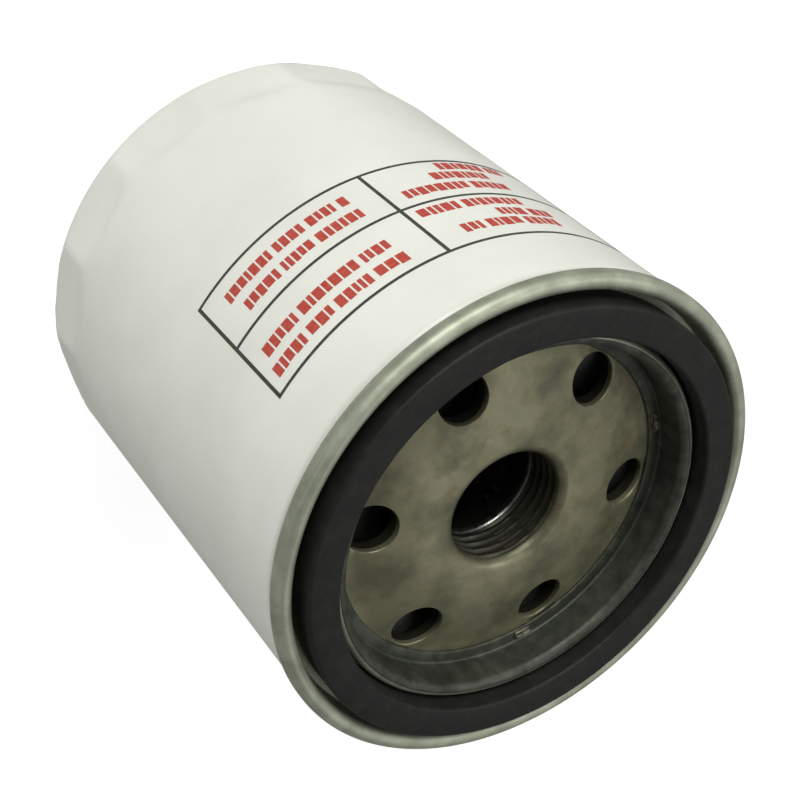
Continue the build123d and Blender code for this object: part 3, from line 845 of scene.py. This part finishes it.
def make_collar_edge():
    """Bright ring where the tap has cut through the collar's lower edge."""
    outer = THREAD_MINOR + RELIEF_DEPTH + 0.1
    low = COLLAR_BOTTOM + 0.1
    high = COLLAR_BOTTOM + RELIEF_HEIGHT - RELIEF_EDGE
    outline = block_outline(
        [(THREAD_MINOR, low), (outer, low), (outer, high), (THREAD_MINOR + 0.05, high)],
        [0.1, 0.1, 0.1, 0.85],
        8,
    )
    ring = turned("cut_collar_edge", outline, 128, sharp_angle=60)
    ring.data.materials.append(MATERIALS["tube_steel"])
    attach(ring, "can")


WELD_COUNT = 4
WELD_ANGLE = 64.0  # first weld, degrees from +X
WELD_CIRCLE = VALLEY_INNER + 1.35
WELD_STRETCH = 1.3
WELD_HALF_RUN = 0.9  # half of the straight stretch between a weld's round ends


def make_welds():
    """Pressed weld nuggets: low rounded pads with a sunk middle, on the lid's flange."""
    section = [  # radius, and height above the flange
        (0, 0.08),
        (0.25, 0.1),
        (0.42, 0.27),
        (0.52, 0.3),
        (0.6, 0.22),
        (0.62, 0.1),
        (0.62, 0),
        (0, 0),
    ]
    flange = VALLEY_TOP + SHEET
    nuggets = bmesh.new()
    for number in range(WELD_COUNT):
        nugget = turned_mesh([(radius, flange + height) for radius, height in section], 32)
        for vertex in nugget.verts:
            side = (vertex.co.y > 0) - (vertex.co.y < 0)
            vertex.co.y = vertex.co.y * WELD_STRETCH + side * WELD_HALF_RUN
        turn = Matrix.Rotation(radians(WELD_ANGLE + 360 / WELD_COUNT * number), 4, "Z")
        nugget.transform(turn @ Matrix.Translation((WELD_CIRCLE, 0, 0)))
        merge(nuggets, nugget)
    welds = finished("weld_marks", nuggets, 50)
    stands_for(welds, "weld_spots", "can", "weld_metal")


# ---------------------------------------------------------------- drainback valve and filter element
SLEEVE_BOTTOM = bottom("drainback_valve")
SLEEVE_TOP = SLEEVE_BOTTOM + 3.4
SLEEVE_INNER = COLLAR_RADIUS + 0.1
SLEEVE_OUTER = SLEEVE_INNER + 1.7
VALVE_RADIUS = 28.4
CAP_HOLE = 9.9
CAP_RIM = 3.0
CAP_BEND = 0.8
BYPASS_HOLE = 6.5
SEAL_RADIUS = 13.2
SEAL_CHAMFER_WIDTH = 1.0
SEAL_CHAMFER_HEIGHT = 0.3
SEAL_LIP_THICKNESS = 0.6
SEAL_LIP_DEPTH = 1.8
TUBE_RADIUS = 15.8
ADHESIVE_EDGE = 0.25
ELEMENT_SHARP_ANGLE = 50


def make_drainback_valve():
    corners = [  # point, and radius of its rounding
        ((SLEEVE_INNER, SLEEVE_BOTTOM), 0.2),
        ((SLEEVE_OUTER, SLEEVE_BOTTOM), 0.2),
        ((SLEEVE_OUTER + 0.5, SLEEVE_BOTTOM + 0.3), 0.2),
        ((VALLEY_INNER, VALLEY_BOTTOM - 1.2), 1.5),
        ((VALVE_RADIUS, VALLEY_BOTTOM - 0.9), 0.3),
        ((VALVE_RADIUS, VALLEY_BOTTOM), 0.25),
        ((VALLEY_INNER + 0.8, VALLEY_BOTTOM), 1.0),
        ((SLEEVE_OUTER + 0.4, SLEEVE_BOTTOM + 1.7), 0.7),
        ((SLEEVE_OUTER, SLEEVE_TOP), 0.3),
        ((SLEEVE_INNER, SLEEVE_TOP), 0.3),
    ]
    outline = block_outline([point for point, _ in corners], [radius for _, radius in corners])
    valve = turned("rubber_diaphragm", outline, sharp_angle=ELEMENT_SHARP_ANGLE)
    stands_for(valve, "drainback_valve", "drainback_valve", "valve_rubber")


def make_element_seal():
    lip_radius = CAP_HOLE - SEAL_LIP_THICKNESS
    corners = [  # point, and radius of its rounding
        ((lip_radius, CAP_TOP - SEAL_LIP_DEPTH), 0.15),
        ((CAP_HOLE, CAP_TOP - SEAL_LIP_DEPTH), 0.15),
        ((CAP_HOLE, CAP_TOP), 0.05),
        ((SEAL_RADIUS, CAP_TOP), 0.2),
        ((SEAL_RADIUS, COLLAR_BOTTOM - SEAL_CHAMFER_HEIGHT), 0.2),
        ((SEAL_RADIUS - SEAL_CHAMFER_WIDTH, COLLAR_BOTTOM), 0.2),
        ((lip_radius, COLLAR_BOTTOM), 0.25),
    ]
    outline = block_outline([point for point, _ in corners], [radius for _, radius in corners])
    seal = turned("element_grommet", outline, 128, sharp_angle=ELEMENT_SHARP_ANGLE)
    stands_for(seal, "element_seal", "element", "valve_rubber")


def make_end_cap(name, node, hole, level, rim_end):
    """Pressed cap with a turned rim. level is the middle of its sheet."""
    rim_line = CAP_RADIUS - SHEET / 2
    centre_line = rounded([(hole, level), (rim_line, level), (rim_line, rim_end)], [CAP_BEND], 8)
    cap = turned(name, sheet_outline(centre_line), sharp_angle=ELEMENT_SHARP_ANGLE)
    stands_for(cap, node, "element", "tin_plate")


def make_adhesive(name, node):
    low, high, radius = bottom(node), top(node), reach(node)
    outline = block_outline(
        [(TUBE_RADIUS, low), (radius, low), (radius, high), (TUBE_RADIUS, high)],
        [ADHESIVE_EDGE] * 4,
    )
    bead = turned(name, outline, 192, sharp_angle=ELEMENT_SHARP_ANGLE)
    stands_for(bead, node, "element", "plastisol")


PLEAT_COUNT = 48
PLEAT_INNER = 16.3  # radius of the inner folds' inside
PAPER_THICKNESS = 0.45
FOLD_RADIUS = 0.3  # of the paper's middle
FOLD_STEPS = 6


def paper_fold_line():
    """Middle line of the folded paper: an arc round each fold, with straight panels between."""
    half_pleat = pi / PLEAT_COUNT
    inset = FOLD_RADIUS + PAPER_THICKNESS / 2
    outer_centres = PAPER_OUTER - inset
    inner_centres = PLEAT_INNER + inset
    inward = outer_centres - inner_centres * cos(half_pleat)
    across = inner_centres * sin(half_pleat)
    # angle between a panel and the radius through its outer fold
    lean = atan2(across, inward) - asin(2 * FOLD_RADIUS / hypot(across, inward))
    line = []
    for fold in range(2 * PLEAT_COUNT):
        facing = fold * half_pleat
        if fold % 2 == 0:
            centres, middle, sweep = outer_centres, 0, pi / 2 - lean
        else:
            centres, middle, sweep = inner_centres, pi, lean + half_pleat - pi / 2
        for step in range(FOLD_STEPS + 1):
            angle = facing + middle + sweep * (2 * step / FOLD_STEPS - 1)
            x = centres * cos(facing) + FOLD_RADIUS * cos(angle)
            y = centres * sin(facing) + FOLD_RADIUS * sin(angle)
            line.append(Vector((x, y)))
    return line


def make_paper():
    """Pleated paper: one folded sheet with rounded folds, standing between the caps."""
    line = paper_fold_line()
    paper_mesh = bmesh.new()
    rings = []
    for side, level in ((1, PAPER_LOW), (1, PAPER_HIGH), (-1, PAPER_HIGH), (-1, PAPER_LOW)):
        ring = []
        for number, point in enumerate(line):
            along = (line[(number + 1) % len(line)] - line[number - 1]).normalized()
            normal = Vector((-along.y, along.x)) * side * PAPER_THICKNESS / 2
            ring.append(paper_mesh.verts.new((point.x + normal.x, point.y + normal.y, level)))
        rings.append(ring)
    for ring, following in zip(rings, rings[1:] + rings[:1]):
        for number in range(len(line)):
            beside = (number + 1) % len(line)
            paper_mesh.faces.new([ring[number], ring[beside], following[beside], following[number]])
    paper = finished("paper_pleats", paper_mesh, 40)
    stands_for(paper, "pleated_paper", "element", "filter_paper")


# ---------------------------------------------------------------- springs
SUPPORT_COIL_RADIUS = 21.0
SUPPORT_WIRE = 1.6
SUPPORT_TURNS = 2
BYPASS_COIL_RADIUS = 4.6
BYPASS_WIRE = 0.9
BYPASS_TURNS = 4
POPPET_TOP = LOWER_CAP_BOTTOM + SHEET + 2.2
CAGE_UNDERSIDE = top("bypass_cage") - 0.7
CLOSED_TURNS = 0.9  # at each end, besides the free turns
STEPS_PER_TURN = 48


def coil_points(coil_radius, wire, low, high, turns):
    """Points of a compression spring whose end coils lie flat."""
    rise = high - low - wire
    points = []
    for step in range(int((turns + 2 * CLOSED_TURNS) * STEPS_PER_TURN) + 1):
        wound = step / STEPS_PER_TURN
        share = smoothstep((wound - CLOSED_TURNS * 0.8) / (turns + CLOSED_TURNS * 0.4))
        angle = 2 * pi * wound
        height = low + wire / 2 + rise * share
        points.append(Vector((coil_radius * cos(angle), coil_radius * sin(angle), height)))
    return points


def make_spring(name, node, body, coil, ends):
    """Spring between two levels. coil is (radius, wire, turns) and ends are its two levels."""
    coil_radius, wire, turns = coil
    low, high = ends
    spring = wire_along(name, coil_points(coil_radius, wire, low, high, turns), wire / 2)
    stands_for(spring, node, body, "spring_steel")
    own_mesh(spring)


def make_springs():
    make_spring(
        "element_spring",
        "support_spring",
        "can",
        (SUPPORT_COIL_RADIUS, SUPPORT_WIRE, SUPPORT_TURNS),
        (SHEET, LOWER_CAP_BOTTOM),
    )
    make_spring(
        "poppet_spring",
        "bypass_spring",
        "element",
        (BYPASS_COIL_RADIUS, BYPASS_WIRE, BYPASS_TURNS),
        (POPPET_TOP, CAGE_UNDERSIDE),
    )


def make_element():
    upper_level = CAP_TOP - SHEET / 2
    lower_level = LOWER_CAP_BOTTOM + SHEET / 2
    make_element_seal()
    make_end_cap("upper_cap", "upper_end_cap", CAP_HOLE, upper_level, CAP_TOP - CAP_RIM)
    make_end_cap("lower_cap", "lower_end_cap", BYPASS_HOLE, lower_level, LOWER_CAP_BOTTOM + CAP_RIM)
    make_adhesive("upper_bead", "upper_adhesive")
    make_adhesive("lower_bead", "lower_adhesive")
    make_paper()


# ---------------------------------------------------------------- printed label
LABEL_LEFT = -74.7  # azimuths round the can, in degrees from +X
LABEL_DIVIDER = -119.7
LABEL_RIGHT = 2 * LABEL_DIVIDER - LABEL_LEFT
LABEL_TOP = GASKET_TOP - 40.2
LABEL_MIDDLE = GASKET_TOP - 28.4
LABEL_BOTTOM = GASKET_TOP - 15.6
LINE_WIDTH = 0.55
INK_HEIGHT = 0.02  # above the paint
INK_ROOT = 0.03  # below the paint's surface
INK_STEP = 1.5  # longest flat run round the can, in degrees
DASH_ROWS = [  # level below the gasket's face, first and last azimuth
    (36.1, -80.5, -113.8),
    (31.9, -82.5, -113.6),
    (22.9, -78.5, -113.4),
    (18.8, -77.3, -113.4),
    (38.3, -137.5, -156.0),
    (35.2, -133.4, -150.0),
    (31.7, -123.7, -151.0),
    (26.0, -122.0, -149.0),
    (22.6, -138.0, -152.0),
    (19.6, -126.5, -152.0),
]
DASH_HALF_HEIGHT = 1.15
LOW_DASH_HALF_HEIGHT = 0.95
DASH_GAP = 0.42  # degrees
GROUP_GAP = 0.9


def wall_slab(mesh_tool, azimuths, levels):
    """Thin closed patch of ink on the can's round wall."""
    from_azimuth, to_azimuth = sorted(azimuths)
    low, high = sorted(levels)
    inner, outer = CAN_RADIUS - INK_ROOT, CAN_RADIUS + INK_HEIGHT
    parts = max(1, ceil((to_azimuth - from_azimuth) / INK_STEP))
    rings = []
    for part in range(parts + 1):
        angle = radians(from_azimuth + (to_azimuth - from_azimuth) * part / parts)
        section = [(inner, low), (outer, low), (outer, high), (inner, high)]
        rings.append([mesh_tool.verts.new((r * cos(angle), r * sin(angle), z)) for r, z in section])
    skin_between(mesh_tool, rings)


def make_label_lines():
    """Frame of the label: three rings of line and three upright lines."""
    lines = bmesh.new()
    half = LINE_WIDTH / 2
    half_turn = degrees(half / CAN_RADIUS)
    for level in (LABEL_TOP, LABEL_MIDDLE, LABEL_BOTTOM):
        wall_slab(lines, (LABEL_LEFT, LABEL_RIGHT), (level - half, level + half))
    for azimuth in (LABEL_LEFT, LABEL_DIVIDER, LABEL_RIGHT):
        wall_slab(lines, (azimuth - half_turn, azimuth + half_turn), (LABEL_TOP - half, LABEL_BOTTOM + half))
    label = finished("label_frame", lines, 30)
    label.data.materials.append(printing_ink("line_ink", srgb(0.2, 0.22, 0.19), srgb(0.36, 0.38, 0.34)))
    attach(label, "can")


def make_label_dashes():
    """Rows of plain red dashes where the print is: generic filler, no letters."""
    draw = Random(5)
    dashes = bmesh.new()
    for depth, start, end in DASH_ROWS:
        level = GASKET_TOP - depth
        azimuth = start
        while azimuth > end + 1:
            for _ in range(draw.randint(3, 8)):
                stop = azimuth - draw.uniform(0.9, 2.2)
                if stop < end:
                    break
                rise = draw.choice((DASH_HALF_HEIGHT, DASH_HALF_HEIGHT, LOW_DASH_HALF_HEIGHT))
                wall_slab(dashes, (azimuth, stop), (level - DASH_HALF_HEIGHT, level + rise))
                azimuth = stop - DASH_GAP
            azimuth -= GROUP_GAP
    label = finished("label_dashes", dashes, 30)
    label.data.materials.append(printing_ink("red_ink", srgb(0.68, 0.2, 0.15), srgb(0.8, 0.42, 0.34)))
    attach(label, "can")


# ---------------------------------------------------------------- studio
FLOOR_HALF_WIDTH = 3000
CAMERA_PLACE = Vector((0, -177.1, GASKET_TOP + 145.6)) * MM
CAMERA_AIM = Vector((-0.4, -17.5, 67.4)) * MM
CAMERA_LENS = 75.7
CAMERA_ROLL = 134.0


def make_camera():
    data = bpy.data.cameras.new("camera")
    data.lens = CAMERA_LENS
    data.sensor_width = 36
    data.clip_start = 0.01
    camera = bpy.data.objects.new("camera", data)
    camera.location = CAMERA_PLACE
    camera.rotation_mode = "QUATERNION"
    aim = (CAMERA_AIM - CAMERA_PLACE).to_track_quat("-Z", "Y")
    camera.rotation_quaternion = aim @ Matrix.Rotation(radians(CAMERA_ROLL), 3, "Z").to_quaternion()
    bpy.context.scene.collection.objects.link(camera)
    bpy.context.scene.camera = camera


def make_floor():
    """Bright sheet under the filter. Metal doesn't mirror it, so that its edges stay dark against it."""
    mesh_tool = bmesh.new()
    bmesh.ops.create_grid(mesh_tool, x_segments=8, y_segments=8, size=FLOOR_HALF_WIDTH)
    floor_piece = finished("studio_floor", mesh_tool)
    finish = Finish("floor", (0.3, 0.3, 0.3, 1), 0.0, 0.9)
    finish.set("Emission Color", (1, 1, 1, 1))
    finish.set("Emission Strength", 0.88)
    floor_piece.data.materials.append(finish.material)
    floor_piece.visible_glossy = False


def make_world():
    """Studio surround: light near the horizon, dim overhead and below."""
    world = bpy.data.worlds.new("studio")
    world.use_nodes = True
    tree = world.node_tree
    place = tree.nodes.new("ShaderNodeTexCoord")
    split = tree.nodes.new("ShaderNodeSeparateXYZ")
    fade = tree.nodes.new("ShaderNodeValToRGB")
    tree.links.new(place.outputs["Generated"], split.inputs[0])
    tree.links.new(split.outputs["Z"], fade.inputs["Fac"])
    tree.links.new(fade.outputs["Color"], tree.nodes["Background"].inputs["Color"])
    stops = [  # sine of the elevation, and brightness
        (0.0, (0.22, 0.22, 0.215, 1)),
        (0.005, (0.48, 0.48, 0.47, 1)),
        (0.06, (0.48, 0.48, 0.47, 1)),
        (0.48, (0.13, 0.13, 0.13, 1)),
    ]
    elements = fade.color_ramp.elements
    while len(elements) < len(stops):
        elements.new(0.5)
    for element, (position, colour) in zip(elements, stops):
        element.position = position
        element.color = colour
    bpy.context.scene.world = world


def softbox(name, azimuth, elevation, distance, size, power):
    """Round soft light at an azimuth from +X and an elevation, in degrees, aimed at the filter."""
    turn, rise = radians(azimuth), radians(elevation)
    away = Vector((cos(turn) * cos(rise), sin(turn) * cos(rise), sin(rise)))
    data = bpy.data.lights.new(name, "AREA")
    data.shape = "DISK"
    data.size = size
    data.energy = power
    light = bpy.data.objects.new(name, data)
    light.location = away * distance + Vector((0, 0, GASKET_TOP * MM))
    light.rotation_mode = "QUATERNION"
    middle = Vector((0, 0, GASKET_TOP * MM / 2))
    light.rotation_quaternion = (middle - light.location).to_track_quat("-Z", "Y")
    bpy.context.scene.collection.objects.link(light)


def make_lights():
    make_world()
    softbox("key_softbox", -122, 24, 0.8, 0.45, 4.0)
    softbox("back_softbox", 90, 56, 0.7, 0.3, 0.4)
    softbox("side_softbox", 168, 56, 0.7, 0.36, 1.3)
    bpy.context.scene.view_settings.view_transform = "Standard"


make_camera()
make_floor()
make_lights()
make_can()
make_lid()
make_gasket()
make_plate()
make_collar_edge()
make_welds()
make_drainback_valve()
make_element()
make_springs()
make_label_lines()
make_label_dashes()

bpy.context.view_layer.update()
